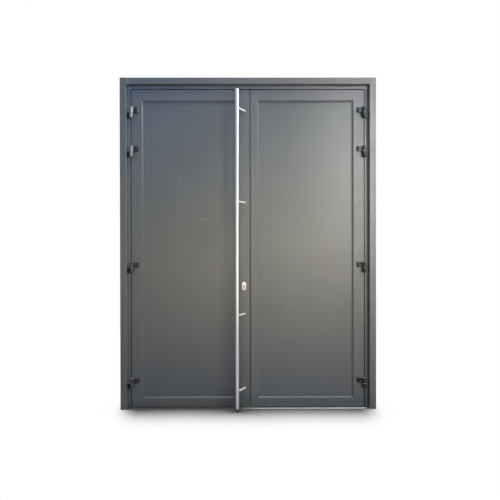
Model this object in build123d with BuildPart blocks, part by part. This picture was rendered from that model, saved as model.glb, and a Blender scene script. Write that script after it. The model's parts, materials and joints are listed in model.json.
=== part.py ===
"""Aluminium double front door that opens outwards, in its frame.

Millimetres. X runs to the right as seen from outside, Y into the building and Z up.
The origin is on the underside of the sill, in the middle of the width, in the plane
of the outer faces of the leaves.
"""

import os
from math import acos, atan2, cos, hypot, sin

from build123d import *

# Overall size
overall_width = 1930.0
overall_height = 2500.0

# Casing, the proud section round the frame
casing_face = 48.0
casing_proud = 32.0
casing_arris = 1.5

# Frame, rebated and mitred at the top
frame_face = 26.0
frame_depth = 70.0
stop_width = 16.0
stop_front = 16.0
profile_arris = 0.8

# Mitres show as fine V lines
mitre_arris = 0.5

# Channel for fittings, which runs along the edges of all profiles
channel_width = 24.0
channel_depth = 3.0
fitting_clearance = 0.2

# Sill plate
sill_thickness = 3.0
sill_groove_width = 4.0
sill_groove_depth = 0.8
sill_groove_pitch = 12.0
sill_groove_count = 6

# Leaves
joint_gap = 6.0
floor_gap = 5.0
meeting_offset = 17.0
leaf_depth = 70.0
lip_width = 22.0
meeting_lip_width = 9.0
lip_thickness = 10.0
lip_chamfer = 5.0
stile_face = 79.0
passive_meeting_face = 54.0
passive_body_relief = 4.0
top_rail_face = 79.0
bottom_rail_face = 66.0

# Panels and the beads that hold them
panel_thickness = 40.0
panel_edge_clearance = 2.0
bead_width = 10.0
bead_set_back = 1.5
bead_depth = 9.5
bead_back_land = 1.0
gasket_thickness = 2.0

# Rubber seals
seal_width = 5.0
seal_clearance = 0.7
seal_groove_depth = 4.0
drop_seal_thickness = 12.0
drop_seal_height = 20.0
drop_seal_end = 4.0
meeting_seal_reach = 14.5
meeting_seal_thickness = 3.0
meeting_seal_root = 6.0

# Barrel hinges, four on each leaf: the joints between their knuckles
hinge_1_above_foot = 183.0
hinge_2_above_foot = 1061.0
hinge_3_below_top = 470.5
hinge_4_below_top = 176.5
hinge_axis_inset = 4.0
hinge_axis_proud = 18.0
knuckle_diameter = 22.0
knuckle_height = 39.0
knuckle_bore = 14.2
knuckle_cap = 3.0
pin_diameter = 14.0
washer_thickness = 1.5
washer_clearance = 0.3
wing_arris = 0.8

# Wings: flat plates that sweep up to the barrel
leaf_wing_reach = 53.0
leaf_wing_thickness = 12.0
leaf_wing_flat_start = 19.0
leaf_wing_flat_end = 42.0
leaf_wing_tip = 2.0
frame_wing_edge = 7.0
frame_wing_casing_clearance = 1.0
frame_wing_leaf_clearance = 6.0

# Pull bar and its standoffs
bar_diameter = 30.0
bar_above_leaf_foot = 16.0
bar_below_leaf_top = 26.0
bar_x = -86.0
bar_proud = 80.0
bar_arris = 2.0
standoff_diameter = 16.0
standoff_foot_x = -26.0
standoff_1_above_foot = 143.5
standoff_2_above_foot = 707.0
standoff_3_below_top = 858.0
standoff_4_below_top = 161.5

# Lock
lock_height = 928.0
lock_backset = 35.0
escutcheon_width = 31.0
escutcheon_height = 64.0
escutcheon_thickness = 8.0
escutcheon_fillet = 2.0
cylinder_diameter = 17.0
cylinder_web_width = 10.0
cylinder_web_height = 33.0
cylinder_proud = 2.0
cylinder_clearance = 0.2
keyway_width = 2.6
keyway_height = 10.0
keyway_depth = 12.0
faceplate_height = 245.0
faceplate_rise = 25.0
bolt_clearance = 0.4
bolt_proud = 0.5
deadbolt_drop = 10.0
deadbolt_width = 16.0
deadbolt_height = 34.0
latch_rise = 62.0
latch_width = 12.0
latch_height = 22.0

# Strike plate and flush bolts of the passive leaf
strike_height = 210.0
strike_allowance = 3.0
strike_pocket_depth = 14.0
flush_bolt_height = 190.0
flush_bolt_end_distance = 140.0
lever_recess_width = 14.0
lever_recess_height = 90.0
lever_recess_depth = 2.0
lever_width = 8.0
lever_height = 60.0

# Places that follow from the sizes
casing_inner_x = overall_width / 2 - casing_face
casing_inner_z = overall_height - casing_face
frame_inner_x = casing_inner_x - frame_face
frame_inner_z = casing_inner_z - frame_face
stop_tip_x = frame_inner_x - stop_width
stop_tip_z = frame_inner_z - stop_width
leaf_outer_x = frame_inner_x - joint_gap
leaf_top = frame_inner_z - joint_gap
leaf_foot = sill_thickness + floor_gap
leaf_height = leaf_top - leaf_foot
body_top = leaf_top - lip_width
active_meeting_x = meeting_offset - joint_gap / 2
passive_meeting_x = meeting_offset + joint_gap / 2
active_body_x = active_meeting_x - meeting_lip_width
passive_body_x = passive_meeting_x + passive_body_relief
rail_top_z = leaf_top - top_rail_face
rail_foot_z = leaf_foot + bottom_rail_face
hinge_x = leaf_outer_x - hinge_axis_inset
hinge_y = -hinge_axis_proud
leaf_middle_y = leaf_depth / 2
channel_low_y = leaf_middle_y - channel_width / 2
channel_high_y = leaf_middle_y + channel_width / 2
hinge_heights = (
    leaf_foot + hinge_1_above_foot,
    leaf_foot + hinge_2_above_foot,
    leaf_top - hinge_3_below_top,
    leaf_top - hinge_4_below_top,
)
standoff_heights = (
    leaf_foot + standoff_1_above_foot,
    leaf_foot + standoff_2_above_foot,
    leaf_top - standoff_3_below_top,
    leaf_top - standoff_4_below_top,
)
bar_foot = leaf_foot + bar_above_leaf_foot
bar_top = leaf_top - bar_below_leaf_top

# The leaves by name: side of the hinges, meeting edge, face of the meeting stile
leaves = {
    "active": (-1, active_meeting_x, stile_face),
    "passive": (1, passive_meeting_x, passive_meeting_face),
}

os.makedirs("parts", exist_ok=True)


def save(piece, name):
    """Label a finished piece and write its file."""
    piece.part.label = name
    export_step(piece.part, f"parts/{name}.step")
    print(name, round(piece.part.volume / 1000), "cm3")


def mitre_plane(outer_x, outer_z, face_x, face_z, inward):
    """The plane of a mitre through an outer top corner; inward is +1 where the piece lies to +X."""
    return Plane(origin=(outer_x, 0, outer_z), z_dir=(inward * face_z, 0, face_x))


def front_mitre_edges(piece):
    """The slanting edges of a piece in the plane of the outer faces."""
    front = piece.edges().filter_by_position(Axis.Y, -0.01, 0.01)
    return front.filter_by(lambda edge: min(abs(edge.tangent_at(0.5).X), abs(edge.tangent_at(0.5).Z)) > 0.1)


def box_between(low, high, mode=Mode.ADD):
    """A plain block between two corners."""
    size = [b - a for a, b in zip(low, high)]
    middle = [(a + b) / 2 for a, b in zip(low, high)]
    with Locations(tuple(middle)):
        Box(*size, mode=mode)


# Casing jambs run from the floor to the top
for side, hand in ((-1, "left"), (1, "right")):
    with BuildPart() as casing_jamb:
        with BuildSketch(Plane.XY):
            with Locations((side * (overall_width - casing_face) / 2, (frame_depth - casing_proud) / 2)):
                Rectangle(casing_face, frame_depth + casing_proud)
        extrude(amount=overall_height)
        fillet(casing_jamb.edges().filter_by(Axis.Z).group_by(Axis.Y)[0], casing_arris)
    save(casing_jamb, f"casing_jamb_{hand}")

# Casing head, between the jambs
with BuildPart() as casing_head:
    with BuildSketch(Plane.YZ.offset(-casing_inner_x)):
        with Locations(((frame_depth - casing_proud) / 2, overall_height - casing_face / 2)):
            Rectangle(frame_depth + casing_proud, casing_face)
    extrude(amount=2 * casing_inner_x)
    fillet(casing_head.edges().filter_by(Axis.X).group_by(Axis.Y)[0], casing_arris)
save(casing_head, "casing_head")

# Frame jambs stand on the sill plate; the stop carries a groove for the seal
seal_inner_x = leaf_outer_x - seal_width
seal_inner_z = leaf_top - seal_width
for side, hand in ((-1, "left"), (1, "right")):
    with BuildPart() as frame_jamb:
        with BuildSketch(Plane.XY.offset(sill_thickness)):
            with BuildLine():
                Polyline(
                    (side * casing_inner_x, 0),
                    (side * frame_inner_x, 0),
                    (side * frame_inner_x, stop_front),
                    (side * stop_tip_x, stop_front),
                    (side * stop_tip_x, channel_low_y),
                    (side * (stop_tip_x + channel_depth), channel_low_y),
                    (side * (stop_tip_x + channel_depth), channel_high_y),
                    (side * stop_tip_x, channel_high_y),
                    (side * stop_tip_x, frame_depth),
                    (side * casing_inner_x, frame_depth),
                    close=True,
                )
            make_face()
        extrude(amount=casing_inner_z - sill_thickness)
        with BuildSketch(Plane.XY.offset(sill_thickness)):
            with Locations((side * (leaf_outer_x + seal_inner_x) / 2, stop_front + seal_groove_depth / 2)):
                Rectangle(seal_width, seal_groove_depth)
        extrude(amount=leaf_top - sill_thickness, mode=Mode.SUBTRACT)
        front_edges = frame_jamb.edges().filter_by(Axis.Z).group_by(Axis.Y)[0]
        chamfer(front_edges.sort_by(Axis.X)[0 if side > 0 else -1], profile_arris)
        split(
            bisect_by=mitre_plane(side * casing_inner_x, casing_inner_z, frame_face, frame_face, -side),
            keep=Keep.BOTTOM,
        )
        chamfer(front_mitre_edges(frame_jamb), mitre_arris)
    save(frame_jamb, f"frame_jamb_{hand}")

# Frame head, mitred into both jambs
with BuildPart() as frame_head:
    with BuildSketch(Plane.YZ.offset(-casing_inner_x)):
        with BuildLine():
            Polyline(
                (0, casing_inner_z),
                (0, frame_inner_z),
                (stop_front, frame_inner_z),
                (stop_front, stop_tip_z),
                (channel_low_y, stop_tip_z),
                (channel_low_y, stop_tip_z + channel_depth),
                (channel_high_y, stop_tip_z + channel_depth),
                (channel_high_y, stop_tip_z),
                (frame_depth, stop_tip_z),
                (frame_depth, casing_inner_z),
                close=True,
            )
        make_face()
    extrude(amount=2 * casing_inner_x)
    box_between(
        (-leaf_outer_x, stop_front, seal_inner_z),
        (leaf_outer_x, stop_front + seal_groove_depth, leaf_top),
        Mode.SUBTRACT,
    )
    front_edges = frame_head.edges().filter_by(Axis.X).group_by(Axis.Y)[0]
    chamfer(front_edges.sort_by(Axis.Z)[0], profile_arris)
    for side in (-1, 1):
        split(
            bisect_by=mitre_plane(side * casing_inner_x, casing_inner_z, frame_face, frame_face, -side),
            keep=Keep.TOP,
        )
    chamfer(front_mitre_edges(frame_head), mitre_arris)
save(frame_head, "frame_head")

# Frame seal, one ring without a foot, pressed into the grooves of the stop
with BuildPart() as frame_seal:
    with BuildSketch(Plane.XZ.offset(-(stop_front + seal_groove_depth))):
        with BuildLine():
            Polyline(
                (-leaf_outer_x, sill_thickness),
                (-leaf_outer_x, leaf_top),
                (leaf_outer_x, leaf_top),
                (leaf_outer_x, sill_thickness),
                (seal_inner_x, sill_thickness),
                (seal_inner_x, seal_inner_z),
                (-seal_inner_x, seal_inner_z),
                (-seal_inner_x, sill_thickness),
                close=True,
            )
        make_face()
    extrude(amount=stop_front + seal_groove_depth - lip_thickness - seal_clearance)
save(frame_seal, "frame_seal")

# Sill plate with fine grooves along it
with BuildPart() as sill:
    box_between(
        (-casing_inner_x, -casing_proud, 0),
        (casing_inner_x, frame_depth, sill_thickness),
    )
    for number in range(sill_groove_count):
        groove_y = -casing_proud + sill_groove_pitch * (number + 1)
        box_between(
            (-frame_inner_x, groove_y - sill_groove_width / 2, sill_thickness - sill_groove_depth),
            (frame_inner_x, groove_y + sill_groove_width / 2, sill_thickness),
            Mode.SUBTRACT,
        )
save(sill, "sill")


def cylinder_outline(clearance):
    """The outline of the lock cylinder, a round head over a narrow web, with a clearance."""
    with Locations((active_body_x - lock_backset, lock_height)):
        Circle(cylinder_diameter / 2 + clearance)
    web_middle_z = lock_height + cylinder_diameter / 2 - cylinder_web_height / 2
    with Locations((active_body_x - lock_backset, web_middle_z)):
        SlotOverall(
            cylinder_web_height + 2 * clearance,
            cylinder_web_width + 2 * clearance,
            rotation=90,
        )


# Leaves
panel_front = bead_set_back + bead_depth + gasket_thickness
panel_back = panel_front + panel_thickness
inside_bead_back = panel_back + gasket_thickness + bead_depth
drop_seal_low_y = leaf_middle_y - drop_seal_thickness / 2
drop_seal_high_y = leaf_middle_y + drop_seal_thickness / 2
drop_groove_top = leaf_foot + drop_seal_height

for leaf, (side, meeting_x, meeting_face) in leaves.items():
    outer_x = side * leaf_outer_x
    body_x = side * (leaf_outer_x - lip_width)
    hinge_inner_x = side * (leaf_outer_x - stile_face)
    meeting_inner_x = meeting_x + side * meeting_face

    # Hinge stile, with the lip that laps over the frame stop
    with BuildPart() as hinge_stile:
        with BuildSketch(Plane.XY.offset(leaf_foot)):
            with BuildLine():
                Polyline(
                    (outer_x, 0),
                    (hinge_inner_x, 0),
                    (hinge_inner_x, leaf_depth),
                    (body_x, leaf_depth),
                    (body_x, channel_high_y),
                    (body_x - side * channel_depth, channel_high_y),
                    (body_x - side * channel_depth, channel_low_y),
                    (body_x, channel_low_y),
                    (body_x, lip_thickness),
                    (outer_x - side * lip_chamfer, lip_thickness),
                    (outer_x, lip_thickness - lip_chamfer),
                    close=True,
                )
            make_face()
        extrude(amount=leaf_height)
        box_between(
            (min(body_x, hinge_inner_x), drop_seal_low_y, leaf_foot),
            (max(body_x, hinge_inner_x), drop_seal_high_y, drop_groove_top),
            Mode.SUBTRACT,
        )
        chamfer(hinge_stile.edges().filter_by(Axis.Z).group_by(Axis.Y)[0], profile_arris)
        split(
            bisect_by=mitre_plane(outer_x, leaf_top, stile_face, top_rail_face, -side),
            keep=Keep.BOTTOM,
        )
        chamfer(front_mitre_edges(hinge_stile), mitre_arris)
    save(hinge_stile, f"{leaf}_hinge_stile")

    # Top rail, mitred at both ends, with its lip upwards
    with BuildPart() as top_rail:
        with BuildSketch(Plane.YZ.offset(min(outer_x, meeting_x))):
            with BuildLine():
                Polyline(
                    (0, leaf_top),
                    (0, rail_top_z),
                    (leaf_depth, rail_top_z),
                    (leaf_depth, body_top),
                    (channel_high_y, body_top),
                    (channel_high_y, body_top - channel_depth),
                    (channel_low_y, body_top - channel_depth),
                    (channel_low_y, body_top),
                    (lip_thickness, body_top),
                    (lip_thickness, leaf_top - lip_chamfer),
                    (lip_thickness - lip_chamfer, leaf_top),
                    close=True,
                )
            make_face()
        extrude(amount=abs(outer_x - meeting_x))
        chamfer(top_rail.edges().filter_by(Axis.X).group_by(Axis.Y)[0], profile_arris)
        split(
            bisect_by=mitre_plane(outer_x, leaf_top, stile_face, top_rail_face, -side),
            keep=Keep.TOP,
        )
        split(
            bisect_by=mitre_plane(meeting_x, leaf_top, meeting_face, top_rail_face, side),
            keep=Keep.TOP,
        )
        chamfer(front_mitre_edges(top_rail), mitre_arris)
    save(top_rail, f"{leaf}_top_rail")

    # Bottom rail, butted between the stiles
    with BuildPart() as bottom_rail:
        box_between(
            (min(hinge_inner_x, meeting_inner_x), 0, leaf_foot),
            (max(hinge_inner_x, meeting_inner_x), leaf_depth, rail_foot_z),
        )
        box_between(
            (min(hinge_inner_x, meeting_inner_x), drop_seal_low_y, leaf_foot),
            (max(hinge_inner_x, meeting_inner_x), drop_seal_high_y, drop_groove_top),
            Mode.SUBTRACT,
        )
        chamfer(bottom_rail.edges().filter_by(Axis.X).group_by(Axis.Y)[0], profile_arris)
    save(bottom_rail, f"{leaf}_bottom_rail")

    # Panel, with a clearance all round that the beads cover
    panel_low_x = min(hinge_inner_x, meeting_inner_x)
    panel_high_x = max(hinge_inner_x, meeting_inner_x)
    with BuildPart() as panel:
        box_between(
            (panel_low_x + panel_edge_clearance, panel_front, rail_foot_z + panel_edge_clearance),
            (panel_high_x - panel_edge_clearance, panel_back, rail_top_z - panel_edge_clearance),
        )
    save(panel, f"{leaf}_panel")

    # Beads and gaskets are rings round the panel; the beads slope down to it
    opening_width = panel_high_x - panel_low_x
    opening_height = rail_top_z - rail_foot_z
    opening_middle = ((panel_low_x + panel_high_x) / 2, (rail_top_z + rail_foot_z) / 2)
    with BuildPart() as outside_bead:
        with BuildSketch(Plane.XZ.offset(-(bead_set_back + bead_depth))):
            with Locations(opening_middle):
                Rectangle(opening_width, opening_height)
                Rectangle(
                    opening_width - 2 * bead_width,
                    opening_height - 2 * bead_width,
                    mode=Mode.SUBTRACT,
                )
        extrude(amount=bead_depth)
        front_wires = outside_bead.faces().sort_by(Axis.Y)[0].inner_wires()
        chamfer(front_wires[0].edges(), bead_depth - bead_back_land)
    save(outside_bead, f"{leaf}_outside_bead")

    with BuildPart() as inside_bead:
        with BuildSketch(Plane.XZ.offset(-inside_bead_back)):
            with Locations(opening_middle):
                Rectangle(opening_width, opening_height)
                Rectangle(
                    opening_width - 2 * bead_width,
                    opening_height - 2 * bead_width,
                    mode=Mode.SUBTRACT,
                )
        extrude(amount=bead_depth)
        back_wires = inside_bead.faces().sort_by(Axis.Y)[-1].inner_wires()
        chamfer(back_wires[0].edges(), bead_depth - bead_back_land)
    save(inside_bead, f"{leaf}_inside_bead")

    with BuildPart() as panel_gaskets:
        for gasket_back in (panel_front, panel_back + gasket_thickness):
            with BuildSketch(Plane.XZ.offset(-gasket_back)):
                with Locations(opening_middle):
                    Rectangle(opening_width, opening_height)
                    Rectangle(
                        opening_width - 2 * bead_width,
                        opening_height - 2 * bead_width,
                        mode=Mode.SUBTRACT,
                    )
            extrude(amount=gasket_thickness)
    save(panel_gaskets, f"{leaf}_panel_gaskets")

    # Drop seal in the groove under the leaf
    seal_meeting_x = active_body_x if leaf == "active" else passive_body_x
    seal_low_x = min(body_x, seal_meeting_x) + drop_seal_end
    seal_high_x = max(body_x, seal_meeting_x) - drop_seal_end
    with BuildPart() as drop_seal:
        box_between(
            (seal_low_x, drop_seal_low_y, sill_thickness + seal_clearance),
            (seal_high_x, drop_seal_high_y, drop_groove_top),
        )
    save(drop_seal, f"{leaf}_drop_seal")

# Meeting stile of the active leaf: a narrow lip, and a body notched where the head stop laps it
with BuildPart() as active_meeting_stile:
    with BuildSketch(Plane.XY.offset(leaf_foot)):
        with BuildLine():
            Polyline(
                (active_meeting_x, 0),
                (active_meeting_x - stile_face, 0),
                (active_meeting_x - stile_face, leaf_depth),
                (active_body_x, leaf_depth),
                (active_body_x, channel_high_y),
                (active_body_x - channel_depth, channel_high_y),
                (active_body_x - channel_depth, channel_low_y),
                (active_body_x, channel_low_y),
                (active_body_x, lip_thickness),
                (active_meeting_x, lip_thickness),
                close=True,
            )
        make_face()
    extrude(amount=leaf_height)
    box_between(
        (active_meeting_x - stile_face, drop_seal_low_y, leaf_foot),
        (active_body_x, drop_seal_high_y, drop_groove_top),
        Mode.SUBTRACT,
    )
    box_between(
        (active_meeting_x - stile_face, lip_thickness, body_top),
        (active_meeting_x, leaf_depth, leaf_top),
        Mode.SUBTRACT,
    )
    with BuildSketch(Plane.XZ):
        cylinder_outline(cylinder_clearance)
    extrude(amount=-leaf_depth, mode=Mode.SUBTRACT)
    chamfer(active_meeting_stile.edges().filter_by(Axis.Z).group_by(Axis.Y)[0], profile_arris)
    split(
        bisect_by=mitre_plane(active_meeting_x, leaf_top, stile_face, top_rail_face, -1),
        keep=Keep.BOTTOM,
    )
    chamfer(front_mitre_edges(active_meeting_stile), mitre_arris)
save(active_meeting_stile, "active_meeting_stile")

# Lock faceplate in the channel, with the ends of the drawn-back deadbolt and latch
faceplate_low_y = channel_low_y + fitting_clearance
faceplate_high_y = channel_high_y - fitting_clearance
faceplate_middle_z = lock_height + faceplate_rise
bolt_ends = (
    (lock_height - deadbolt_drop, deadbolt_width, deadbolt_height),
    (lock_height + latch_rise, latch_width, latch_height),
)
with BuildPart() as lock_faceplate:
    box_between(
        (active_body_x - channel_depth, faceplate_low_y, faceplate_middle_z - faceplate_height / 2),
        (active_body_x, faceplate_high_y, faceplate_middle_z + faceplate_height / 2),
    )
    for middle_z, width, height in bolt_ends:
        with Locations((active_body_x - channel_depth / 2, leaf_middle_y, middle_z)):
            Box(channel_depth, width + 2 * bolt_clearance, height + 2 * bolt_clearance, mode=Mode.SUBTRACT)
        with Locations((active_body_x - (channel_depth - bolt_proud) / 2, leaf_middle_y, middle_z)):
            Box(channel_depth + bolt_proud, width, height)
save(lock_faceplate, "lock_faceplate")

# Meeting stile of the passive leaf: its body stands back from its lip, so that the back corner
# clears the active leaf, and it is notched at the top where the head stop laps it
flush_bolt_middles = (leaf_foot + flush_bolt_end_distance, body_top - flush_bolt_end_distance)
meeting_seal_front = lip_thickness + seal_clearance
with BuildPart() as passive_meeting_stile:
    box_between(
        (passive_meeting_x, 0, leaf_foot),
        (passive_meeting_x + passive_meeting_face, leaf_depth, leaf_top),
    )
    box_between(
        (passive_meeting_x, lip_thickness, leaf_foot),
        (passive_body_x, leaf_depth, leaf_top),
        Mode.SUBTRACT,
    )
    box_between(
        (passive_body_x, lip_thickness, body_top),
        (passive_meeting_x + passive_meeting_face, leaf_depth, leaf_top),
        Mode.SUBTRACT,
    )
    box_between(
        (passive_body_x, drop_seal_low_y, leaf_foot),
        (passive_meeting_x + passive_meeting_face, drop_seal_high_y, drop_groove_top),
        Mode.SUBTRACT,
    )
    box_between(
        (passive_body_x, meeting_seal_front, leaf_foot),
        (passive_body_x + meeting_seal_root, meeting_seal_front + meeting_seal_thickness, leaf_top),
        Mode.SUBTRACT,
    )
    box_between(
        (passive_body_x, channel_low_y, leaf_foot),
        (passive_body_x + channel_depth, channel_high_y, leaf_top),
        Mode.SUBTRACT,
    )
    pocket_middle_x = passive_body_x + channel_depth + strike_pocket_depth / 2
    for middle_z, width, height in bolt_ends:
        with Locations((pocket_middle_x, leaf_middle_y, middle_z)):
            Box(
                strike_pocket_depth,
                width + 2 * strike_allowance,
                height + 2 * strike_allowance,
                mode=Mode.SUBTRACT,
            )
    chamfer(passive_meeting_stile.edges().filter_by(Axis.Z).group_by(Axis.Y)[0], profile_arris)
    split(
        bisect_by=mitre_plane(passive_meeting_x, leaf_top, passive_meeting_face, top_rail_face, 1),
        keep=Keep.BOTTOM,
    )
    chamfer(front_mitre_edges(passive_meeting_stile), mitre_arris)
save(passive_meeting_stile, "passive_meeting_stile")

# Strike plate and flush bolts, flush in the channel of the passive leaf
with BuildPart() as strike_plate:
    box_between(
        (passive_body_x, faceplate_low_y, faceplate_middle_z - strike_height / 2),
        (passive_body_x + channel_depth, faceplate_high_y, faceplate_middle_z + strike_height / 2),
    )
    for middle_z, width, height in bolt_ends:
        with Locations((passive_body_x + channel_depth / 2, leaf_middle_y, middle_z)):
            Box(
                channel_depth,
                width + 2 * strike_allowance,
                height + 2 * strike_allowance,
                mode=Mode.SUBTRACT,
            )
save(strike_plate, "strike_plate")

with BuildPart() as flush_bolts:
    for middle_z in flush_bolt_middles:
        box_between(
            (passive_body_x, faceplate_low_y, middle_z - flush_bolt_height / 2),
            (passive_body_x + channel_depth, faceplate_high_y, middle_z + flush_bolt_height / 2),
        )
        with Locations((passive_body_x + lever_recess_depth / 2, leaf_middle_y, middle_z)):
            Box(lever_recess_depth, lever_recess_width, lever_recess_height, mode=Mode.SUBTRACT)
            Box(lever_recess_depth, lever_width, lever_height)
save(flush_bolts, "flush_bolts")

# Meeting seal: a rubber tongue on the passive edge that reaches behind the active lip
with BuildPart() as meeting_seal:
    box_between(
        (passive_body_x - meeting_seal_reach, meeting_seal_front, leaf_foot),
        (passive_body_x + meeting_seal_root, meeting_seal_front + meeting_seal_thickness, body_top),
    )
save(meeting_seal, "meeting_seal")


def barrel_tangent(foot_reach, foot_rise):
    """Where a line from the foot of a sweep touches the barrel; reach from the axis, rise from the leaf."""
    drop = foot_rise - hinge_axis_proud
    radius = knuckle_diameter / 2
    angle = atan2(drop, foot_reach) + acos(radius / hypot(foot_reach, drop))
    return radius * cos(angle), hinge_axis_proud + radius * sin(angle)


# Hinges: the lower knuckle is on the frame, the upper knuckle on the leaf
frame_wing_reach = casing_inner_x - hinge_x - frame_wing_casing_clearance
frame_sweep_reach, frame_sweep_rise = barrel_tangent(frame_wing_reach, frame_wing_edge)
leaf_sweep_reach, leaf_sweep_rise = barrel_tangent(leaf_wing_flat_start, leaf_wing_thickness)
leaf_knuckle_lift = washer_thickness + washer_clearance
bore_depth = knuckle_height - knuckle_cap
for side, hand in ((-1, "left"), (1, "right")):
    axis_x = side * hinge_x
    for number, height in enumerate(hinge_heights, start=1):
        # Frame wing, relieved where the edge of the leaf moves past it
        with BuildPart() as frame_wing:
            with BuildSketch(Plane.XY.offset(height - knuckle_height)):
                with Locations((axis_x, hinge_y)):
                    Circle(knuckle_diameter / 2)
                with BuildLine():
                    Polyline(
                        (axis_x, hinge_y),
                        (axis_x, -frame_wing_leaf_clearance),
                        (side * frame_inner_x, -frame_wing_leaf_clearance),
                        (side * frame_inner_x, 0),
                        (axis_x + side * frame_wing_reach, 0),
                        (axis_x + side * frame_wing_reach, -frame_wing_edge),
                        (axis_x + side * frame_sweep_reach, -frame_sweep_rise),
                        close=True,
                    )
                make_face()
            extrude(amount=knuckle_height)
            chamfer(frame_wing.faces().sort_by(Axis.Z)[0].edges(), wing_arris)
            with Locations((axis_x, hinge_y, height - bore_depth / 2)):
                Cylinder(knuckle_bore / 2, bore_depth, mode=Mode.SUBTRACT)
        save(frame_wing, f"{hand}_hinge_{number}_frame_wing")

        # Leaf wing, a flat plate between the sweep to the barrel and a sloping tip
        with BuildPart() as leaf_wing:
            with BuildSketch(Plane.XY.offset(height + leaf_knuckle_lift)):
                with Locations((axis_x, hinge_y)):
                    Circle(knuckle_diameter / 2)
                with BuildLine():
                    Polyline(
                        (axis_x, hinge_y),
                        (axis_x, 0),
                        (axis_x - side * leaf_wing_reach, 0),
                        (axis_x - side * leaf_wing_reach, -leaf_wing_tip),
                        (axis_x - side * leaf_wing_flat_end, -leaf_wing_thickness),
                        (axis_x - side * leaf_wing_flat_start, -leaf_wing_thickness),
                        (axis_x - side * leaf_sweep_reach, -leaf_sweep_rise),
                        close=True,
                    )
                make_face()
            extrude(amount=knuckle_height)
            chamfer(leaf_wing.faces().sort_by(Axis.Z)[-1].edges(), wing_arris)
            with Locations((axis_x, hinge_y, height + leaf_knuckle_lift + bore_depth / 2)):
                Cylinder(knuckle_bore / 2, bore_depth, mode=Mode.SUBTRACT)
        save(leaf_wing, f"{hand}_hinge_{number}_leaf_wing")

    # Pins inside the knuckles, with the washer that carries the leaf
    with BuildPart() as hinge_pins:
        for height in hinge_heights:
            with Locations((axis_x, hinge_y, height + leaf_knuckle_lift / 2)):
                Cylinder(pin_diameter / 2, 2 * bore_depth + leaf_knuckle_lift)
            with Locations((axis_x, hinge_y, height + washer_thickness / 2)):
                Cylinder(knuckle_diameter / 2, washer_thickness)
    save(hinge_pins, f"{hand}_hinge_pins")

# Pull bar
with BuildPart() as pull_bar:
    with BuildSketch(Plane.XY.offset(bar_foot)):
        with Locations((bar_x, -bar_proud)):
            Circle(bar_diameter / 2)
    extrude(amount=bar_top - bar_foot)
    fillet(pull_bar.edges().filter_by(GeomType.CIRCLE), bar_arris)
save(pull_bar, "pull_bar")

# Standoffs run at a slant from the back of the bar to the meeting stile
with BuildPart() as pull_standoffs:
    for height in standoff_heights:
        start = Vector(bar_x, -bar_proud, height)
        foot = Vector(standoff_foot_x, 0, height)
        slant = foot - start
        with BuildSketch(Plane(origin=start, z_dir=slant)):
            Circle(standoff_diameter / 2)
        extrude(amount=slant.length + standoff_diameter)
    box_between(
        (bar_x, 0, bar_foot),
        (standoff_foot_x + 2 * standoff_diameter, 2 * standoff_diameter, bar_top),
        Mode.SUBTRACT,
    )
    with Locations((bar_x, -bar_proud, (bar_foot + bar_top) / 2)):
        Cylinder(bar_diameter / 2, bar_top - bar_foot, mode=Mode.SUBTRACT)
save(pull_standoffs, "pull_standoffs")

# Escutcheons outside and inside, and the cylinder through the stile
for place, face_y in (("outside", 0), ("inside", leaf_depth)):
    with BuildPart() as escutcheon:
        with BuildSketch(Plane.XZ.offset(-face_y)):
            with Locations((active_body_x - lock_backset, lock_height)):
                SlotOverall(escutcheon_height, escutcheon_width, rotation=90)
        extrude(amount=escutcheon_thickness if place == "outside" else -escutcheon_thickness)
        outer_face = escutcheon.faces().filter_by(Axis.Y).sort_by(Axis.Y)[0 if place == "outside" else -1]
        fillet(outer_face.edges(), escutcheon_fillet)
        with BuildSketch(Plane.XZ.offset(-face_y)):
            cylinder_outline(cylinder_clearance)
        extrude(amount=escutcheon_thickness, both=True, mode=Mode.SUBTRACT)
    save(escutcheon, f"escutcheon_{place}")

cylinder_front = escutcheon_thickness + cylinder_proud
with BuildPart() as lock_cylinder:
    with BuildSketch(Plane.XZ.offset(cylinder_front)):
        cylinder_outline(0)
    extrude(amount=-(leaf_depth + 2 * cylinder_front))
    for keyway_y in (keyway_depth / 2 - cylinder_front, leaf_depth + cylinder_front - keyway_depth / 2):
        with Locations((active_body_x - lock_backset, keyway_y, lock_height)):
            Box(keyway_width, keyway_depth, keyway_height, mode=Mode.SUBTRACT)
save(lock_cylinder, "lock_cylinder")
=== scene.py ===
# %% [markdown]
# # An aluminium double front door
# Two flush leaves hang in an aluminium frame, and a deeper casing stands proud around them.
# Leaves, frame, hinges and lock are parts with real sizes, so their shapes come from the
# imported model. This lesson sets up the camera, gives every surface its finish, adds the small
# fixings that a fitter leaves behind, and ends with the light.

# %% Load the door
import json
import math

import bmesh
import bpy
from mathutils import Matrix, Vector


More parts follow.
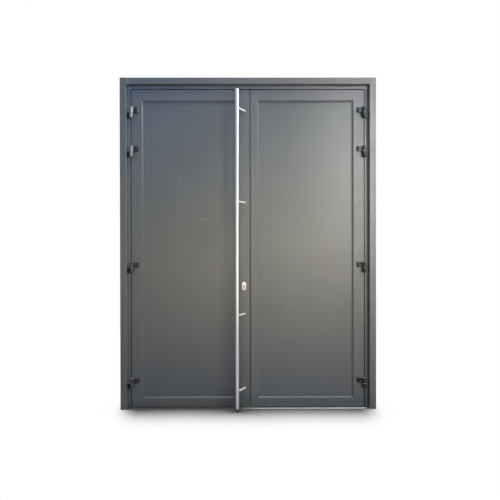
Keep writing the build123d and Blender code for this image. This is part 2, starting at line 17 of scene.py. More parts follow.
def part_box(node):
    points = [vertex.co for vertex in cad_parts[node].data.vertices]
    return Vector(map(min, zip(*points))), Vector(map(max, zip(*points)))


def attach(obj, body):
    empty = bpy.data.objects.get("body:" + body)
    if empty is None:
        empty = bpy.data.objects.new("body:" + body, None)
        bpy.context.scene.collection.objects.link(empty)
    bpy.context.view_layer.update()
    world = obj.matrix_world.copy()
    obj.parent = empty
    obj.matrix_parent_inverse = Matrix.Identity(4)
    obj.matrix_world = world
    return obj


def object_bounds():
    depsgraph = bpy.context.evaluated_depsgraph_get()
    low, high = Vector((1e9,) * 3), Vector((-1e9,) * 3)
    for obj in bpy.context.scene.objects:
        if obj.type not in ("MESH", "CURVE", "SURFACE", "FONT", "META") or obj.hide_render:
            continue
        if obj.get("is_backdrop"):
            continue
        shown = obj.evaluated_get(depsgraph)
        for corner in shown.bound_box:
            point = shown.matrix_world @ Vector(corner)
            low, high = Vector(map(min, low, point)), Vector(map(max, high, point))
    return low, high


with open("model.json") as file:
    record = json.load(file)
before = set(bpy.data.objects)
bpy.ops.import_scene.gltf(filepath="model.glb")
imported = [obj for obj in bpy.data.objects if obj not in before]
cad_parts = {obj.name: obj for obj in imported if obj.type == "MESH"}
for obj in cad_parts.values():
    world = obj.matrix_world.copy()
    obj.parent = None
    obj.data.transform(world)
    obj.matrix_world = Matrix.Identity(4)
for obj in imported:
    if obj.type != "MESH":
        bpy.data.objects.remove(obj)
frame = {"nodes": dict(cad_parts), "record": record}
cad_low, cad_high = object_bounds()
scene = bpy.context.scene
print("the door measures", [round(v, 3) for v in cad_high - cad_low], "m")

# %% [markdown]
# ## The camera
# The photograph is a frontal view that was cropped off centre: the lines of depth meet left of
# the middle. Turning the camera to the side would make the upright lines lean, so the camera
# looks straight at the door, and a lens shift moves the picture instead. What is left are
# turns of less than a quarter of a degree, as anyone has who holds a camera by hand.

# %% The camera
picture_size = 500  # pixels, as are the focal length and the vanishing point
focal_length = 388.8
vanishing_point = Vector((219.64, 248.5))
camera_place = (-0.227, -2.96, 1.224)
pitch, yaw, roll = (math.radians(angle) for angle in (-0.194, -0.227, -0.112))

camera_data = bpy.data.cameras.new("camera")
camera = bpy.data.objects.new("camera", camera_data)
scene.collection.objects.link(camera)
scene.camera = camera
turn = Matrix.Rotation(roll, 3, "Y") @ Matrix.Rotation(-pitch, 3, "X") @ Matrix.Rotation(-yaw, 3, "Z")
right, forward, up = turn
camera.location = camera_place
camera.rotation_euler = Matrix((right, up, -forward)).transposed().to_euler()
camera_data.lens = focal_length / picture_size * camera_data.sensor_width
camera_data.shift_x = 0.5 - vanishing_point.x / picture_size
camera_data.shift_y = vanishing_point.y / picture_size - 0.5
print("lens", round(camera_data.lens, 2), "mm, shift", round(camera_data.shift_x, 4))

# %% [markdown]
# ## Layers of a finish
# Each surface of a door is coated, brushed or moulded, and no part of it is quite like the next.
# A photograph of paint would need a file and would repeat. Here each finish is stacked from
# a few layers instead: a slow cloud for the colour, a fine grain for the relief, and single
# marks at their own places. All of them read the piece's own coordinates, in metres, so the
# sizes below are real sizes, and the pattern stays on the leaf when the leaf swings.

# %% Helpers for nodes
def finish(name, colour, roughness, metallic=0.0):
    """A material with one Principled shader, its node tree and that shader."""
    material = bpy.data.materials.new(name)
    material.use_nodes = True
    shader = material.node_tree.nodes["Principled BSDF"]
    shader.inputs["Base Color"].default_value = (*colour, 1)
    shader.inputs["Roughness"].default_value = roughness
    shader.inputs["Metallic"].default_value = metallic
    return material, material.node_tree, shader


def node(tree, kind, **inputs):
    """A new node with some inputs set; From_Min stands for the input From Min."""
    made = tree.nodes.new(kind)
    for name, value in inputs.items():
        made.inputs[name.replace("_", " ")].default_value = value
    return made


def place(tree, squeeze=(1, 1, 1), shift=(0, 0, 0)):
    """The piece's own points in metres, squeezed along an axis and then shifted."""
    points = tree.nodes.new("ShaderNodeTexCoord").outputs["Object"]
    mapping = node(tree, "ShaderNodeMapping", Scale=squeeze, Location=shift)
    tree.links.new(points, mapping.inputs["Vector"])
    return mapping.outputs["Vector"]


def axes(tree, vector=None):
    """The outputs X, Y and Z of the piece's own points, or of another vector."""
    split = tree.nodes.new("ShaderNodeSeparateXYZ")
    tree.links.new(vector or place(tree), split.inputs[0])
    return split.outputs


def sums(tree, operation, *values):
    """A Math node on numbers or on other nodes' outputs."""
    made = tree.nodes.new("ShaderNodeMath")
    made.operation = operation
    for socket, value in zip(made.inputs, values):
        if isinstance(value, bpy.types.NodeSocket):
            tree.links.new(value, socket)
        else:
            socket.default_value = value
    return made.outputs[0]


print("helpers for nodes are ready")

# %% [markdown]
# ## Clouds and ranges
# Two things shape every layer. A cloud is noise with lumps of a real size. A range takes the
# part of a value that matters and stretches it, so a soft cloud becomes sharp flecks or a
# faint drift. The result says how much of one colour lies over another.

# %% Clouds and ranges
def cloud(tree, points, size, detail=2.0):
    """Noise with lumps of about that size, in metres."""
    noise = node(tree, "ShaderNodeTexNoise", Scale=1 / size, Detail=detail)
    tree.links.new(points, noise.inputs["Vector"])
    return noise.outputs[0]


def spread(tree, value, low, high, to_low=0.0, to_high=1.0):
    """Stretches a value's range from low to high over another range, and clamps it."""
    stretch = node(
        tree, "ShaderNodeMapRange", From_Min=low, From_Max=high, To_Min=to_low, To_Max=to_high
    )
    tree.links.new(value, stretch.inputs["Value"])
    return stretch.outputs["Result"]


def mixed(tree, amount, below, above):
    """Lays one colour over another, where the amount is 1."""
    mix = tree.nodes.new("ShaderNodeMix")
    mix.data_type = "RGBA"
    tree.links.new(amount, mix.inputs[0])
    for socket, colour in ((mix.inputs[6], below), (mix.inputs[7], above)):
        if isinstance(colour, bpy.types.NodeSocket):
            tree.links.new(colour, socket)
        else:
            socket.default_value = (*colour, 1)
    return mix.outputs[2]


def shade(colour, factor):
    """The same colour, lighter or darker."""
    return [channel * factor for channel in colour]


print("clouds, ranges and mixed colours are ready")

# %% [markdown]
# ## Relief and marks
# Relief of a few hundredths of a millimetre is too fine for a mesh, and a Bump node tilts the
# shading instead, by heights that are still given in metres. A single mark needs a place, so
# it is an oval on the front of the door, and where its rim is crisp, a range sharpens it.

# %% Relief and marks
def relief(tree, shader, *layers):
    """Bumps the surface by layers of (height between 0 and 1, depth in metres)."""
    normal = None
    for height, depth in layers:
        bump = node(tree, "ShaderNodeBump", Distance=depth)
        tree.links.new(height, bump.inputs["Height"])
        if normal:
            tree.links.new(normal, bump.inputs["Normal"])
        normal = bump.outputs["Normal"]
    tree.links.new(normal, shader.inputs["Normal"])


def spot(tree, x, z, half_width, half_height):
    """1 in the middle of an oval on the front, falling to 0 at its rim."""
    points = place(
        tree, (1 / half_width, 0, 1 / half_height), (-x / half_width, 0, -z / half_height)
    )
    gradient = tree.nodes.new("ShaderNodeTexGradient")
    gradient.gradient_type = "SPHERICAL"
    tree.links.new(points, gradient.inputs["Vector"])
    return gradient.outputs[1]


def specks(tree, places, half_width, half_height):
    """1 on each of some small spots on the front, given by their x and z."""
    found = None
    for x, z in places:
        speck = spread(tree, spot(tree, x, z, half_width, half_height), 0.1, 0.5)
        found = sums(tree, "MAXIMUM", found, speck) if found else speck
    return found


print("relief and marks are ready")

# %% [markdown]
# ## Powder coat
# The profiles and panels are powder coated in a satin anthracite. Baked powder never lies quite
# flat: under a lamp it shows orange peel, soft bumps about 2 mm across. Its colour drifts a
# little along each length, and dust lies low down, where no cloth reaches. A plain paint with
# one roughness would look like plastic, so colour, gloss and relief each get their own cloud.
# Creases such as mitres and bead lines get painted shade: an ambient occlusion node finds
# them, darkens their colour and takes their gloss. The outer sides of the casing sit in the
# wall, so the coat is left dull there.

# %% The powder coat
anthracite = (0.071, 0.0748, 0.083)
# Dust, and also the pale colour of painted light and painted highlights
dust_and_painted_light = (0.30, 0.29, 0.26)
# Sizes and depths in metres; a mask for one side of a part starts one to three skins under it
drift_size, fleck_size, wiped_size, dust_size = 0.5, 0.0016, 0.13, 0.02
swell_size, peel_size, peel_depth = 0.35, 0.0024, 0.00003
dusty_height = 0.16
crease_shade_reach = 0.012
skin = 0.0005
beyond_the_door = 9.0


def powder_coat(name, colour, roughness, marks, dusty=0.05, wave=0.0003, dull_from=beyond_the_door):
    """Satin powder coat with its marks; the wave is how deep the surface swells, in metres,
    and the coat is dull from so far out to a side."""
    material, tree, shader = finish(name, colour, roughness)
    points = place(tree)
    sides = axes(tree, points)
    drift = spread(tree, cloud(tree, points, drift_size, 3), 0.3, 0.7)
    coat = mixed(tree, drift, shade(colour, 0.93), shade(colour, 1.07))
    flecks = spread(tree, cloud(tree, points, fleck_size, 1), 0.6, 0.8, 0, 0.5)
    coat = mixed(tree, flecks, coat, shade(colour, 1.3))
    low_down = spread(tree, sides["Z"], 0.0, dusty_height, dusty, 0)
    speckled = spread(tree, cloud(tree, points, dust_size, 4), 0.4, 0.75)
    dusted = sums(tree, "MULTIPLY", low_down, speckled)
    coat = mixed(tree, dusted, coat, dust_and_painted_light)
    for mark, strength, mark_colour in marks(tree):
        coat = mixed(tree, sums(tree, "MULTIPLY", mark, strength), coat, mark_colour)
    # Painted shade: the colour is darkened in the creases that the occlusion node finds
    crease_occlusion = node(tree, "ShaderNodeAmbientOcclusion", Distance=crease_shade_reach)
    crease_occlusion.samples = 8
    clear = spread(tree, crease_occlusion.outputs["AO"], 0.20, 0.65)
    coat = mixed(tree, clear, shade(colour, 0.2), coat)
    tree.links.new(coat, shader.inputs["Base Color"])
    out = sums(tree, "ABSOLUTE", sides["X"])
    glossy = spread(tree, out, dull_from - skin, dull_from - skin / 5, 0.5, 0)
    tree.links.new(sums(tree, "MULTIPLY", clear, glossy), shader.inputs["Specular IOR Level"])
    wiped = cloud(tree, points, wiped_size, 4)
    wiped = spread(tree, wiped, 0.3, 0.75, roughness - 0.035, roughness + 0.05)
    tree.links.new(sums(tree, "ADD", wiped, dusted), shader.inputs["Roughness"])
    waves = cloud(tree, place(tree, (1, 1, 0.6)), swell_size, 1)
    peel = cloud(tree, points, peel_size, 2)
    relief(tree, shader, (waves, wave), (peel, peel_depth))
    return material


print("powder coat in", anthracite, "with bumps of", 1000 * peel_size, "mm")

# %% [markdown]
# ## Painted light and shade
# The door isn't lit evenly, and some of that is painted into the coat. Where the casing's
# shade falls on the frame and the top rail, a pale painted light grows with height, and on
# the frame it also grows towards the right. The side of the left casing that faces the leaves
# gets painted light. The foot gets painted shade, darker and bluer and more so at the right,
# and a painted shadow lies behind the foot of the pull bar. Each of these is a mask over a
# stretch of the real door, with a strength and a colour. The stretches are given in metres,
# and what belongs to a part, such as the inner side of the casing, takes its place from it.

# %% Painted light and shade
# Colours of soot and painted shadow, of painted light, and of painted shade at the foot
soot_and_painted_shadow = (0.010, 0.012, 0.016)
painted_light_colour = (0.28, 0.25, 0.29)
foot_shade_colour = (0.010, 0.034, 0.070)
# Ovals on the front as x, z, half width and half height, and ranges along one axis, in metres
# Ovals and heights of painted shade at the foot, and of the painted shadow behind the bar
splash_shade_oval = (0.55, 0.0, 0.9, 0.17)
bar_shadow_oval = (-0.115, 0.08, 0.16, 0.75)
foot_shade_heights = (0.22, 0.58)
film_width = (-0.93, 0.93)
film_edge = 0.01
inner_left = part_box("casing_jamb_left")[1].x
strip_end = (inner_left + 0.017, inner_left + 0.027)
recess_front = (-0.010, -0.003)
lit_heights = (0.2, 0.9)


def painted_splash_shade(tree):
    """Painted shade at the foot of the right side, darker and bluer."""
    return spot(tree, *splash_shade_oval), 0.45, shade(foot_shade_colour, 0.65)


def painted_foot_shade(tree, strength):
    """Painted shade low down, darker and bluer, which fades out with height."""
    return spread(tree, axes(tree)["Z"], *foot_shade_heights, 1, 0), strength, foot_shade_colour


def painted_light_film(tree, strength, low, high, front_limit=None):
    """Painted light: a pale film that grows with height, for light that the casing's shade takes
    away; its last argument is where it ends in front, and with it the film also grows to the right.
    """
    sides = axes(tree)
    painted_lift = spread(tree, sides["Z"], low, high)
    if front_limit:
        painted_lift = sums(tree, "MULTIPLY", painted_lift, spread(tree, sides["Y"], front_limit, front_limit + film_edge))
        towards_right = spread(tree, sides["X"], *film_width, 0.35, 1)
        painted_lift = sums(tree, "MULTIPLY", painted_lift, towards_right)
    return painted_lift, strength, painted_light_colour


def painted_lit_inner_side(tree):
    """Painted light on the side of the left casing that faces the leaves, stronger higher up."""
    sides = axes(tree)
    inside = spread(tree, sides["X"], inner_left - 3 * skin, inner_left - skin)
    left = spread(tree, sides["X"], *strip_end, 1, 0)
    before = spread(tree, sides["Y"], *recess_front, 1, 0)
    above = spread(tree, sides["Z"], *lit_heights, 0.3, 1)
    strip = sums(tree, "MULTIPLY", inside, left)
    lit = sums(tree, "MULTIPLY", before, above)
    return sums(tree, "MULTIPLY", strip, lit), 0.24, dust_and_painted_light


def painted_bar_shadow(tree):
    """A painted shadow of the pull bar, darkest behind its foot."""
    return spot(tree, *bar_shadow_oval), 0.5, soot_and_painted_shadow


print("the casing's inner side lies at x =", round(inner_left, 4), "m")

# %% [markdown]
# ## Marks on frame and leaves
# A pale line beside the left mitre of the head is a painted highlight, where the edge catches
# the light, and a few chips show along the head and on the leaves. Such marks say more about a
# real door than any noise does. Each is a speck at its own place, mixed over the coat in the
# colour of dust, soot, painted light or painted shadow. A mitre is the line where x and z have
# one sum, and the painted highlight runs 5 mm beside it.

# %% Marks on frame and leaves
# Small marks by their x and z, in metres
mitre_highlight_corner = [(-0.889, 2.434)]
head_chips = [(-0.734, 2.441), (-0.700, 2.439), (-0.480, 2.440), (0.680, 2.440)]
casing_scratches = [(-0.937, 2.429), (0.942, 2.451)]
leaf_chips = [(0.022, 2.142), (0.793, 0.063)]
sooty_spot = [(0.819, 1.528)]
mitre_line = cad_high.z - cad_high.x
mitre_highlight_line = mitre_line + 0.005
mitre_highlight_edge = (0.003, 0.007)


def frame_marks(tree):
    """A painted highlight beside the head's left mitre, chips on the head, scratches on the casing,
    painted light behind the casing and on its inner side, and painted shade low down.
    """
    sides = axes(tree)
    # Painted highlight: a pale line beside the left mitre, where its edge catches the light
    along = sums(tree, "ADD", sides["X"], sides["Z"])
    off = sums(tree, "ABSOLUTE", sums(tree, "SUBTRACT", along, mitre_highlight_line))
    line = spread(tree, off, *mitre_highlight_edge, 1, 0)
    corner = specks(tree, mitre_highlight_corner, 0.026, 0.026)
    yield sums(tree, "MULTIPLY", line, corner), 1.0, dust_and_painted_light
    yield specks(tree, head_chips, 0.007, 0.005), 0.7, dust_and_painted_light
    yield specks(tree, casing_scratches, 0.022, 0.004), 0.22, dust_and_painted_light
    yield painted_light_film(tree, 0.30, low=0.5, high=2.45, front_limit=-0.022)
    yield painted_lit_inner_side(tree)
    yield painted_foot_shade(tree, 0.10)
    yield painted_splash_shade(tree)


def leaf_marks(tree):
    """A chip at the meeting stile, one on the bottom rail, a sooty spot on the hinge stile,
    painted light on the top rail, a painted shadow behind the bar's foot and painted shade low down.
    """
    yield specks(tree, leaf_chips, 0.006, 0.006), 0.5, dust_and_painted_light
    yield specks(tree, sooty_spot, 0.008, 0.008), 0.8, soot_and_painted_shadow
    yield painted_light_film(tree, 0.10, low=2.30, high=2.36)
    yield painted_bar_shadow(tree)
    yield painted_foot_shade(tree, 0.12)
    yield painted_splash_shade(tree)


frame_coat = powder_coat(
    "anthracite_powder_coat_frame", anthracite, 0.50, frame_marks, dull_from=cad_high.x
)
leaf_coat = powder_coat("anthracite_powder_coat_leaf", shade(anthracite, 1.04), 0.49, leaf_marks)
print("powder coat mixed for frame and leaves")

# %% [markdown]
# ## The panels
# Each leaf is closed by a flat sheet on a foam core. Such a sheet is never dead flat: it
# swells and sinks by a millimetre over a third of a metre, and the reflections on it bend.
# A long weak wave in the relief gives that. The sheets also got a few scuffs: a patch of
# faint strokes on the left one, and part of a faint ring on the right one.

# %% The panels
stroke_patch = (-0.45, 1.49, 0.24, 0.12)
upright_patch = (-0.52, 1.72, 0.16, 0.36)
smear = [(-0.345, 1.44)]
nicks = [(-0.585, 2.043), (-0.509, 1.921), (-0.598, 2.05)]
ring_oval = (0.355, 0.745, 0.07, 0.06)
smudge_oval = (0.27, 0.02, 0.05, 0.04)
panel_wave = 0.0012


def left_marks(tree):
    """A patch of short level strokes, a few upright ones, and bright nicks."""
    yield painted_foot_shade(tree, 0.18)
    level = spread(tree, cloud(tree, place(tree, (9, 1, 110)), 1, 3), 0.60, 0.72)
    upright = spread(tree, cloud(tree, place(tree, (70, 1, 6)), 1, 3), 0.64, 0.76)
    yield sums(tree, "MULTIPLY", level, spot(tree, *stroke_patch)), 0.36, dust_and_painted_light
    yield sums(tree, "MULTIPLY", upright, spot(tree, *upright_patch)), 0.20, dust_and_painted_light
    yield specks(tree, smear, 0.024, 0.008), 0.28, dust_and_painted_light
    yield specks(tree, nicks, 0.007, 0.005), 0.35, dust_and_painted_light
    yield painted_bar_shadow(tree)


def right_marks(tree):
    """Part of a ring, as a wiped-off circle leaves it, and a smudge at the foot."""
    yield painted_foot_shade(tree, 0.18)
    rim = spot(tree, *ring_oval)
    ring = sums(tree, "MULTIPLY", spread(tree, rim, 0.08, 0.16), spread(tree, rim, 0.3, 0.2))
    worn = spread(tree, cloud(tree, place(tree), 0.05, 3), 0.42, 0.6)
    yield sums(tree, "MULTIPLY", ring, worn), 0.05, dust_and_painted_light
    yield spot(tree, *smudge_oval), 0.25, dust_and_painted_light


left_panel_coat, right_panel_coat = (
    powder_coat(
        f"anthracite_powder_coat_{hand}_panel", anthracite, 0.47, marks, dusty=0.04, wave=panel_wave
    )
    for hand, marks in (("left", left_marks), ("right", right_marks))
)
print("panel finishes", left_panel_coat.name, "and", right_panel_coat.name)

# %% [markdown]
# ## The hinges
# The barrel hinges are cast and coated in a smoother, darker black than the profiles. They
# are oiled, so their gloss is uneven, and dust settles on what faces up. On the left, the
# upper barrels get a pale painted highlight, as light from the right falls on them. On the
# right, the flanges on the frame were coated over together with it. Both hinges share one
# recipe with two amounts, and the distance from the hinge axis tells barrel from flange.

# %% The hinges
hinge_colour = (0.013, 0.015, 0.020)
# The pale colour is a painted highlight on the upper left barrels
painted_highlight_colour = (0.185, 0.18, 0.165)
pin_low, pin_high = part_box("right_hinge_pins")
hinge_axis_x = (pin_low.x + pin_high.x) / 2
barrel_edge = (0.010, 0.014)
flange_edge = (0.0125, 0.0145)
highlight_heights = (1.2, 1.9)


def hinge_coat(name, wear_and_highlight, overcoated):
    """Black coat, its barrels given a pale painted highlight and its frame flanges coated over, by so
    much.
    """
    material, tree, shader = finish(name, hinge_colour, 0.30)
    points = place(tree)
    sides = axes(tree, points)
    oiled = spread(tree, cloud(tree, points, 0.02, 4), 0.35, 0.7)
    coat = mixed(tree, oiled, hinge_colour, shade(hinge_colour, 1.7))
    pits = spread(tree, cloud(tree, points, 0.0022, 2), 0.62, 0.8, 0, 0.35)
    coat = mixed(tree, pits, coat, shade(dust_and_painted_light, 0.3))
    facing = axes(tree, tree.nodes.new("ShaderNodeNewGeometry").outputs["Normal"])
    settled = spread(tree, facing["Z"], 0.6, 0.95, 0, 0.75)
    coat = mixed(tree, settled, coat, dust_and_painted_light)
    off_axis = sums(tree, "SUBTRACT", sums(tree, "ABSOLUTE", sides["X"]), hinge_axis_x)
    flange = spread(tree, off_axis, *flange_edge, 0, overcoated)
    coat = mixed(tree, flange, coat, anthracite)
    # Painted highlight: the upper barrels are paler, as light from the right falls on them
    barrel_highlight = spread(tree, sums(tree, "ABSOLUTE", off_axis), *barrel_edge, wear_and_highlight, 0)
    highlit_heights = spread(tree, sides["Z"], *highlight_heights, 0.12, 1)
    barrel_highlight = sums(tree, "MULTIPLY", barrel_highlight, highlit_heights)
    tree.links.new(mixed(tree, barrel_highlight, coat, painted_highlight_colour), shader.inputs["Base Color"])
    shiny = sums(tree, "MAXIMUM", barrel_highlight, sums(tree, "MULTIPLY", flange, 0.55))
    tree.links.new(spread(tree, shiny, 0, 1, 0.15, 0.8), shader.inputs["Specular IOR Level"])
    tree.links.new(spread(tree, oiled, 0, 1, 0.26, 0.40), shader.inputs["Roughness"])
    cast = (cloud(tree, points, 0.006, 2), 0.0001)
    grain = (cloud(tree, points, 0.0013, 1), 0.00003)
    relief(tree, shader, cast, grain)
    return material


left_hinge_coat = hinge_coat("black_hinge_coat_highlit", wear_and_highlight=1.0, overcoated=0.0)
right_hinge_coat = hinge_coat("black_hinge_coat_dull", wear_and_highlight=0.0, overcoated=1.0)
print("hinge finishes", left_hinge_coat.name, "and", right_hinge_coat.name)

# %% [markdown]
# ## Brushed stainless steel
# The pull bar was ground on a belt along its length, so its scratches are long and upright and
# thousandths of a millimetre deep. Noise that is squeezed hard in two directions and stretched
# in the third gives such lines. Fingers dull it in patches as large as a palm.

# %% Brushed stainless steel
steel_colour = (0.435, 0.452, 0.495)
brushed_steel, tree, shader = finish("brushed_stainless", steel_colour, 0.27, 1.0)
lines = cloud(tree, place(tree, (1, 1, 0.012)), 0.0006, 3)
palms = cloud(tree, place(tree), 0.09, 3)
steel = mixed(tree, spread(tree, lines, 0.3, 0.7), shade(steel_colour, 0.94), shade(steel_colour, 1.05))
tree.links.new(steel, shader.inputs["Base Color"])
scratchy = spread(tree, lines, 0.25, 0.75, 0.29, 0.41)
smudged = spread(tree, palms, 0.45, 0.75, 0, 0.07)
tree.links.new(sums(tree, "ADD", scratchy, smudged), shader.inputs["Roughness"])
relief(tree, shader, (lines, 0.000003))
print("steel finish", brushed_steel.name)

# %% [markdown]
# ## Blasted steel on the standoffs
# The standoffs of the bar are cut from round steel and blasted with glass beads before they are
# welded on. Blasting leaves a fine even grain, so they look paler and duller than the bar.
# The dents are smaller than noise can show from here, so lumps of 0.6 mm stand for them. One
# cloud gives both relief and roughness, so that the two agree.

# %% Blasted steel on the standoffs
blasted_colour = (0.82, 0.82, 0.80)
blasted_steel, tree, shader = finish("blasted_stainless", blasted_colour, 0.5, 1.0)
points = place(tree)
grain = cloud(tree, points, 0.0006, 2)
worn = spread(tree, cloud(tree, points, 0.015, 3), 0.35, 0.7)
pale = mixed(tree, worn, blasted_colour, shade(blasted_colour, 0.88))
tree.links.new(pale, shader.inputs["Base Color"])
tree.links.new(spread(tree, grain, 0.3, 0.7, 0.44, 0.6), shader.inputs["Roughness"])
relief(tree, shader, (grain, 0.000012))
print("standoff finish", blasted_steel.name)

# %% [markdown]
# ## Satin lock metal
# Escutcheons are nickel plated and tumbled in fine grit. That gives an even, pearly surface,
# a little darker than the bar. It has no direction, so its noise isn't stretched either.

# %% Satin lock metal
nickel_colour = (0.40, 0.42, 0.475)
satin_nickel, tree, shader = finish("satin_nickel", nickel_colour, 0.36, 1.0)
points = place(tree)
grit = cloud(tree, points, 0.0005, 2)
handled = spread(tree, cloud(tree, points, 0.012, 3), 0.4, 0.7)
plated = mixed(tree, handled, nickel_colour, shade(nickel_colour, 0.85))
tree.links.new(plated, shader.inputs["Base Color"])
tree.links.new(spread(tree, grit, 0.3, 0.7, 0.26, 0.4), shader.inputs["Roughness"])
relief(tree, shader, (grit, 0.00001))
print("lock finish", satin_nickel.name)

# %% [markdown]
# ## The worn, shaded cylinder
# The plating of the lock cylinder gets a dark brownish colour, a painted shade that makes it
# darker than the escutcheon around it. Keys scrape its face each day, so it is duller, darker
# and rougher where it is rubbed. One cloud drives both colour and roughness, because it is the
# same wear that changes them.

# %% The worn, shaded cylinder
# The dark colour of the cylinder is painted shade
cylinder_shade_colour = (0.20, 0.19, 0.175)
worn_shaded_nickel, tree, shader = finish("worn_shaded_nickel", cylinder_shade_colour, 0.42, 1.0)
points = place(tree)
wear_and_highlight = spread(tree, cloud(tree, points, 0.005, 3), 0.4, 0.7)
tree.links.new(mixed(tree, wear_and_highlight, cylinder_shade_colour, shade(cylinder_shade_colour, 0.6)), shader.inputs["Base Color"])
tree.links.new(spread(tree, wear_and_highlight, 0, 1, 0.36, 0.52), shader.inputs["Roughness"])
relief(tree, shader, (cloud(tree, points, 0.0006, 2), 0.00001))
print("cylinder finish", worn_shaded_nickel.name)

# %% [markdown]
# ## Mill finish on the sill
# The sill plate is bare aluminium as it left the press. Drawing lines run along it. The plate is
# darker and duller on the left. On the right one bright strip is left, between the front edge,
# which has grime and painted shade, and the painted shade that lies near the leaves. Ranges
# along X and Y say where it darkens, and a faint cloud makes it slightly uneven.

# %% Mill finish on the sill
sill_colour = (0.84, 0.87, 0.91)
# Grime, and painted shade near the leaves and at the front edge
grime_and_shade = (0.11, 0.115, 0.108)
under_left_leaf = (-0.06, 0.10)
front_edge_end = (-0.028, -0.024)
leaf_side_start = (-0.016, -0.012)
mill_aluminium, tree, shader = finish("mill_aluminium", sill_colour, 0.36, 1.0)
sides = axes(tree)
drawn = cloud(tree, place(tree, (0.02, 1, 1)), 0.0009, 3)
# Darker on the left; near the leaves the darkening is painted shade
darker_left = spread(tree, sides["X"], *under_left_leaf, 1.0, 0)
front_edge = spread(tree, sides["Y"], *front_edge_end, 0.9, 0)
shade_near_leaf = spread(tree, sides["Y"], *leaf_side_start, 0, 0.9)
patches = spread(tree, cloud(tree, place(tree), 0.035, 4), 0.3, 0.6, 0.95, 1)
dirt_and_shade = sums(tree, "MAXIMUM", darker_left, sums(tree, "MAXIMUM", front_edge, shade_near_leaf))
dirt_and_shade = sums(tree, "MULTIPLY", dirt_and_shade, patches)
plate = mixed(tree, spread(tree, drawn, 0.3, 0.7), shade(sill_colour, 0.9), shade(sill_colour, 1.06))
tree.links.new(mixed(tree, dirt_and_shade, plate, grime_and_shade), shader.inputs["Base Color"])
tree.links.new(spread(tree, dirt_and_shade, 0, 0.7, 0.33, 0.7), shader.inputs["Roughness"])
relief(tree, shader, (drawn, 0.000006))
print("sill finish", mill_aluminium.name)

# %% [markdown]
# ## Rubber
# Seals and gaskets are extruded rubber. New rubber is black; after a winter it has a grey
# bloom, patchy and quite matt. One cloud mixes the bloom in and roughens it.

# %% Rubber
rubber_colour = (0.012, 0.012, 0.013)
bloom_colour = (0.045, 0.045, 0.043)
seal_rubber, tree, shader = finish("seal_rubber", rubber_colour, 0.62)
points = place(tree)
bloom = spread(tree, cloud(tree, points, 0.03, 4), 0.45, 0.75, 0, 0.55)
tree.links.new(mixed(tree, bloom, rubber_colour, bloom_colour), shader.inputs["Base Color"])
tree.links.new(spread(tree, bloom, 0, 0.55, 0.5, 0.8), shader.inputs["Roughness"])
relief(tree, shader, (cloud(tree, points, 0.0011, 2), 0.00004))
print("rubber finish", seal_rubber.name)

# %% [markdown]
# ## Dress the parts
# The imported record says which finish slot each part belongs to, so one table dresses nearly
# all of them. A second table holds the few that look different from their slot: the panels
# with their own marks, the blasted standoffs and the cylinder with its painted shade. The
# left hinges take the coat with painted highlights on the barrels.

# %% Dress the parts
slot_of = {row["node"]: row["material_slot"] for row in frame["record"]["subparts"]}
finish_of = {
    "frame_paint": frame_coat,
    "leaf_paint": leaf_coat,
    "hinge_paint": right_hinge_coat,
    "stainless": brushed_steel,
    "lock_metal": satin_nickel,
    "sill_aluminium": mill_aluminium,
    "black_rubber": seal_rubber,
}
own_finish = {
    "active_panel": left_panel_coat,
    "passive_panel": right_panel_coat,
    "pull_standoffs": blasted_steel,
    "lock_cylinder": worn_shaded_nickel,
}
for name, part in frame["nodes"].items():
    dress = own_finish.get(name) or finish_of[slot_of[name]]
    if dress is right_hinge_coat and name.startswith("left"):
        dress = left_hinge_coat
    part.data.materials.clear()
    part.data.materials.append(dress)
print(len(frame["nodes"]), "parts dressed")

# %% [markdown]
# ## Selecting and settling
# Modelling operators act on all that is selected, and the door's own parts must stay as they
# are. So a few helpers deselect everything first, pick faces by their place or normal, and
# move a finished piece's place into its mesh, where the door's parts keep theirs too.

# %% Helpers for modelling
def deselect_all():
    """Nothing selected, so that an operator can't reach the door's own parts."""
    bpy.ops.object.select_all(action="DESELECT")


def take(piece):
    """Selects one piece alone and makes it the active one."""
    deselect_all()
    bpy.context.view_layer.objects.active = piece
    piece.select_set(True)


def open_mesh(piece):
    """Edit mode on one piece, in face mode, with nothing selected."""
    take(piece)
    bpy.ops.object.mode_set(mode="EDIT")
    bpy.ops.mesh.select_mode(type="FACE")
    bpy.ops.mesh.select_all(action="DESELECT")


def pick_faces(piece, wanted):
    """Selects the faces whose middle and normal pass a test, and counts them."""
    mesh = bmesh.from_edit_mesh(piece.data)
    mesh.normal_update()
    for face in mesh.faces:
        face.select_set(bool(wanted(face.calc_center_median(), face.normal)))
    bmesh.update_edit_mesh(piece.data)
    return sum(face.select for face in mesh.faces)


def apply_modifier(piece, kind, **settings):
    """Adds a modifier with these settings and applies it."""
    take(piece)
    modifier = piece.modifiers.new(kind.lower(), kind)
    for name, value in settings.items():
        setattr(modifier, name, value)
    bpy.ops.object.modifier_apply(modifier=modifier.name)


def settle(piece):
    """Moves the place of a piece from its object into its mesh, and smooths its round faces."""
    take(piece)
    bpy.ops.object.transform_apply(location=True, rotation=True, scale=True)
    bpy.ops.object.shade_smooth_by_angle(angle=math.radians(35))


print("helpers for modelling are ready")

# %% [markdown]
# ## Screws and caps
# The plates in the leaf edges are held by screws with raised heads and a hexagon socket, and
# each hinge knuckle ends in a cap with a socket, behind which sits the height adjustment. Both
# are the same kind of thing: a low round head with a crown and a hole. One is modelled for
# each size. It starts as a cylinder, its top is inset and lifted into a crown, a hexagonal
# cutter takes out the socket, and a small bevel takes the sharpness off all edges.

